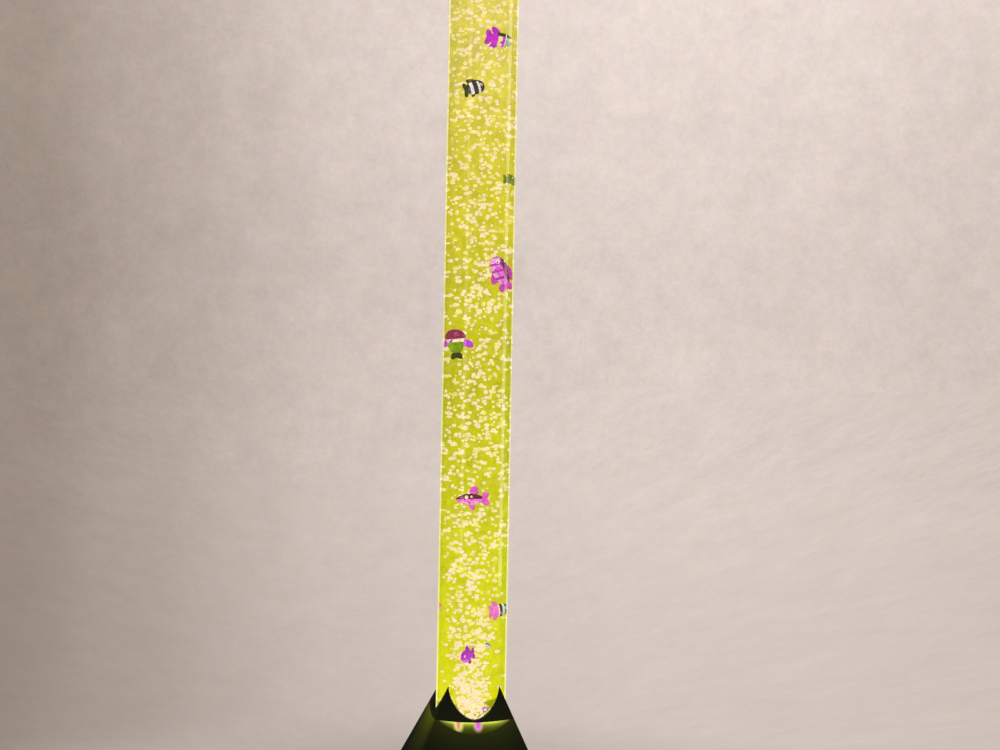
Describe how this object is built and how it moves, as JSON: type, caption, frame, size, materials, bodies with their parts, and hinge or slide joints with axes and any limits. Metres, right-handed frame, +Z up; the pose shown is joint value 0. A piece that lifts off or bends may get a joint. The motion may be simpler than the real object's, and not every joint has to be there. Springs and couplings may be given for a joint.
{
  "type": "bubble tube floor lamp",
  "caption": "Tall clear tube of lit, bubbling water with plastic fish on a black four-pointed pyramid base; a pump and lights in the base, a lid that lifts off.",
  "frame": {"origin": "on the floor, under the tube's axis, at the centre of the base", "axes": "+Z up along the tube, +Y towards the back with the power inlet and buttons"},
  "size_m": [0.204, 0.204, 1.2],
  "materials": {
    "black_gloss": "moulded, polished black",
    "black_matte": "moulded, fine texture",
    "grey_plastic": "moulded",
    "button_plastic": "satin",
    "blue_valve": "moulded",
    "clear_tube": "clear cast acrylic, polished",
    "lit_diffuser": "frosted acrylic, lit",
    "led_lens": "clear domes",
    "white_board": "white solder mask",
    "green_board": "green solder mask",
    "soft_hose": "translucent silicone",
    "rubber": "soft, matte",
    "zinc_steel": "zinc plated",
    "core_steel": "laminated and sintered",
    "copper_coil": "enamelled wire",
    "brass": "turned",
    "fish_magenta": "painted",
    "fish_violet": "painted",
    "fish_green": "painted",
    "fish_maroon": "painted",
    "fish_pink": "painted",
    "fish_blue": "painted"
  },
  "bodies": {
    "lamp": {"base_plate": "black_matte", "rubber_feet": "rubber", "base_housing": "black_gloss", "case_screws": "zinc_steel", "crown_collar": "black_gloss", "light_ring": "lit_diffuser", "bubble_tube": "clear_tube", "tube_floor": "clear_tube", "tube_socket": "black_matte", "tube_seal": "rubber", "socket_screws": "zinc_steel", "led_board": "white_board", "leds": "led_lens", "air_nozzle": "brass", "nozzle_washer": "rubber", "nozzle_nut": "brass", "hose_to_nozzle": "soft_hose", "check_valve": "blue_valve", "hose_from_pump": "soft_hose", "pump_feet": "rubber", "pump_tray": "grey_plastic", "pump_lid": "grey_plastic", "pump_core": "core_steel", "pump_coil": "copper_coil", "pump_pivot": "zinc_steel", "pump_diaphragm": "rubber", "valve_box": "grey_plastic", "control_board": "green_board", "board_parts": "black_matte", "board_screws": "zinc_steel", "power_jack": "black_matte", "switch_board": "green_board", "tact_switches": "black_matte", "top_collar": "black_gloss"},
    "lid": {"top_lid": "black_gloss", "lid_seal": "rubber"},
    "pump_lever": {"pump_arm": "zinc_steel", "pump_magnet": "core_steel"},
    "light_button": {"light_button": "button_plastic"},
    "bubble_button": {"bubble_button": "button_plastic"},
    "fish_01": {"fish_01": "fish_magenta"},
    "fish_02": {"fish_02": "fish_violet"},
    "fish_03": {"fish_03": "fish_green"},
    "fish_04": {"fish_04": "fish_magenta"},
    "fish_05": {"fish_05": "fish_maroon"},
    "fish_06": {"fish_06": "fish_magenta"},
    "fish_07": {"fish_07": "fish_pink"},
    "fish_08": {"fish_08": "fish_violet"},
    "fish_09": {"fish_09": "fish_pink"},
    "fish_10": {"fish_10": "fish_blue"},
    "fish_11": {"fish_11": "fish_violet"}
  },
  "joints": [
    {"name": "lid_lift", "type": "slide", "parent": "lamp", "child": "lid", "axis": [0, 0, 1], "range_m": [0, 0.12]},
    {"name": "light_press", "type": "slide", "parent": "lamp", "child": "light_button", "axis": [0, -1, 0], "range_m": [0, 0.0015], "stiffness_N_per_m": 400},
    {"name": "bubble_press", "type": "slide", "parent": "lamp", "child": "bubble_button", "axis": [0, -1, 0], "range_m": [0, 0.0015], "stiffness_N_per_m": 400},
    {"name": "pump_swing", "type": "hinge", "parent": "lamp", "child": "pump_lever", "pos_m": [0.02, -0.011, 0.023], "axis": [0, 0, 1], "range_deg": [-1.5, 1.5], "stiffness_Nm_per_rad": 0.3, "deforming": ["pump_diaphragm"]},
    {"name": "fish_01_float", "type": "slide", "parent": "lamp", "child": "fish_01", "axis": [0, 0, 1], "range_m": [-0.06, 0.09]},
    {"name": "fish_02_float", "type": "slide", "parent": "lamp", "child": "fish_02", "axis": [0, 0, 1], "range_m": [-0.12, 0.12]},
    {"name": "fish_03_float", "type": "slide", "parent": "lamp", "child": "fish_03", "axis": [0, 0, 1], "range_m": [-0.04, 0.06]},
    {"name": "fish_04_float", "type": "slide", "parent": "lamp", "child": "fish_04", "axis": [0, 0, 1], "range_m": [-0.12, 0.03]},
    {"name": "fish_05_float", "type": "slide", "parent": "lamp", "child": "fish_05", "axis": [0, 0, 1], "range_m": [-0.06, 0.12]},
    {"name": "fish_06_float", "type": "slide", "parent": "lamp", "child": "fish_06", "axis": [0, 0, 1], "range_m": [-0.08, 0.06]},
    {"name": "fish_07_float", "type": "slide", "parent": "lamp", "child": "fish_07", "axis": [0, 0, 1], "range_m": [-0.05, 0.12]},
    {"name": "fish_08_float", "type": "slide", "parent": "lamp", "child": "fish_08", "axis": [0, 0, 1], "range_m": [-0.03, 0.06]},
    {"name": "fish_09_float", "type": "slide", "parent": "lamp", "child": "fish_09", "axis": [0, 0, 1], "range_m": [-0.06, 0.12]},
    {"name": "fish_10_float", "type": "slide", "parent": "lamp", "child": "fish_10", "axis": [0, 0, 1], "range_m": [-0.04, 0.06]},
    {"name": "fish_11_float", "type": "slide", "parent": "lamp", "child": "fish_11", "axis": [0, 0, 1], "range_m": [-0.02, 0.03]}
  ]
}
